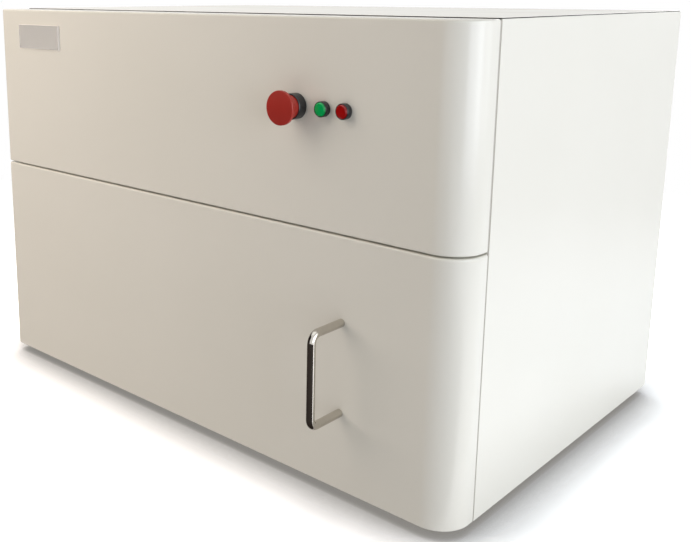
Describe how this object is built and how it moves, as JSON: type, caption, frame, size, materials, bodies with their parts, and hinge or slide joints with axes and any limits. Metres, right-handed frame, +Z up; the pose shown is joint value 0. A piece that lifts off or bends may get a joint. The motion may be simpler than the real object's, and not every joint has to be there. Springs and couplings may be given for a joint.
{
  "type": "thin-film stress tester",
  "caption": "Bench cabinet for measuring film stress on wafers: cream folded-steel case, hinged front door with bar handle, mushroom stop button, and a laser scan gantry over a turntable.",
  "frame": {"origin": "on the floor below the middle of the part's box", "axes": "+Z up, +X towards the viewer's right along the front, the door and controls face -Y"},
  "size_m": [0.84, 0.6254, 0.572],
  "materials": {
    "cream_paint": "semi-gloss cream powder coat",
    "zinc_steel": "zinc-plated sheet steel",
    "polished_stainless": "polished stainless steel",
    "aluminium": "fine-milled aluminium",
    "black_anodised": "black anodised aluminium",
    "black_rubber": "matt moulded rubber",
    "black_plastic": "satin moulded plastic",
    "red_plastic": "glossy red moulded plastic",
    "green_plastic": "glossy green moulded plastic",
    "clear_acrylic": "clear polished acrylic sheet",
    "circuit_board": "green solder resist"
  },
  "bodies": {
    "case": {"base_plate": "zinc_steel", "left_side_panel": "cream_paint", "right_side_panel": "cream_paint", "rear_panel": "cream_paint", "top_panel": "cream_paint", "upper_front_panel": "cream_paint", "front_frame": "zinc_steel", "middle_shelf": "zinc_steel", "nameplate": "clear_acrylic", "foot_front_left": "black_rubber", "foot_front_right": "black_rubber", "foot_rear_left": "black_rubber", "foot_rear_right": "black_rubber", "door_gasket": "black_rubber", "hinge_bracket_upper": "zinc_steel", "hinge_bracket_lower": "zinc_steel", "hinge_pin_upper": "polished_stainless", "hinge_pin_lower": "polished_stainless", "latch_magnet": "black_plastic", "estop_collar": "black_plastic", "estop_contact_block": "black_plastic", "start_bezel": "black_plastic", "stop_bezel": "black_plastic", "optical_bench": "aluminium", "isolator_front_left": "black_rubber", "isolator_front_right": "black_rubber", "isolator_rear_left": "black_rubber", "isolator_rear_right": "black_rubber", "stage_body": "black_anodised", "gantry_post_left": "aluminium", "gantry_post_right": "aluminium", "gantry_beam": "aluminium", "scan_rail": "polished_stainless", "bearing_block": "black_anodised", "scan_motor": "black_anodised", "power_supply": "zinc_steel", "control_board": "circuit_board", "fan_frame": "black_plastic", "fan_guard": "polished_stainless", "power_inlet": "black_plastic", "data_port": "zinc_steel"},
    "door": {"door_panel": "cream_paint", "door_liner": "cream_paint", "door_handle": "polished_stainless", "handle_screw_upper": "zinc_steel", "handle_screw_lower": "zinc_steel", "hinge_lug_upper": "zinc_steel", "hinge_lug_lower": "zinc_steel", "latch_strike": "zinc_steel"},
    "plunger_group": {"estop_plunger": "black_plastic"},
    "mushroom_group": {"estop_mushroom": "red_plastic"},
    "start_group": {"start_cap": "green_plastic"},
    "stop_group": {"stop_cap": "red_plastic"},
    "carriage_group": {"scan_carriage": "aluminium", "laser_head": "black_anodised", "detector": "black_anodised"},
    "screw_group": {"leadscrew": "polished_stainless"},
    "table_group": {"rotary_table": "aluminium"},
    "fan_group": {"fan_rotor": "black_plastic"},
    "rocker_group": {"rocker_switch": "black_plastic"}
  },
  "joints": [
    {"name": "door_hinge", "type": "hinge", "parent": "case", "child": "door", "pos_m": [-0.408, -0.24112, 0.168], "axis": [0, 0, -1], "range_deg": [0, 110]},
    {"name": "estop_push", "type": "slide", "parent": "case", "child": "plunger_group", "axis": [0, 1, 0], "range_m": [0, 0.004], "stiffness_N_per_m": 1200},
    {"name": "estop_twist", "type": "hinge", "parent": "plunger_group", "child": "mushroom_group", "pos_m": [0.195, -0.28, 0.469], "axis": [0, 1, 0], "range_deg": [0, 45], "stiffness_Nm_per_rad": 0.05},
    {"name": "start_push", "type": "slide", "parent": "case", "child": "start_group", "axis": [0, 1, 0], "range_m": [0, 0.002], "stiffness_N_per_m": 400},
    {"name": "stop_push", "type": "slide", "parent": "case", "child": "stop_group", "axis": [0, 1, 0], "range_m": [0, 0.002], "stiffness_N_per_m": 400},
    {"name": "carriage_slide", "type": "slide", "parent": "case", "child": "carriage_group", "axis": [1, 0, 0], "range_m": [-0.1, 0.1]},
    {"name": "leadscrew_spin", "type": "hinge", "parent": "case", "child": "screw_group", "pos_m": [0, 0.00888, 0.2652], "axis": [1, 0, 0], "continuous": true},
    {"name": "table_spin", "type": "hinge", "parent": "case", "child": "table_group", "pos_m": [0, -0.02112, 0.12], "axis": [0, 0, 1], "continuous": true},
    {"name": "fan_spin", "type": "hinge", "parent": "case", "child": "fan_group", "pos_m": [-0.25, 0.292, 0.452], "axis": [0, 1, 0], "continuous": true},
    {"name": "rocker_tilt", "type": "hinge", "parent": "case", "child": "rocker_group", "pos_m": [0.33, 0.30718, 0.427], "axis": [0, 0, -1], "range_deg": [0, 20]}
  ],
  "couplings": [
    {"joint": "leadscrew_spin", "follows": "carriage_slide", "rad_per_m": 628.32}
  ]
}
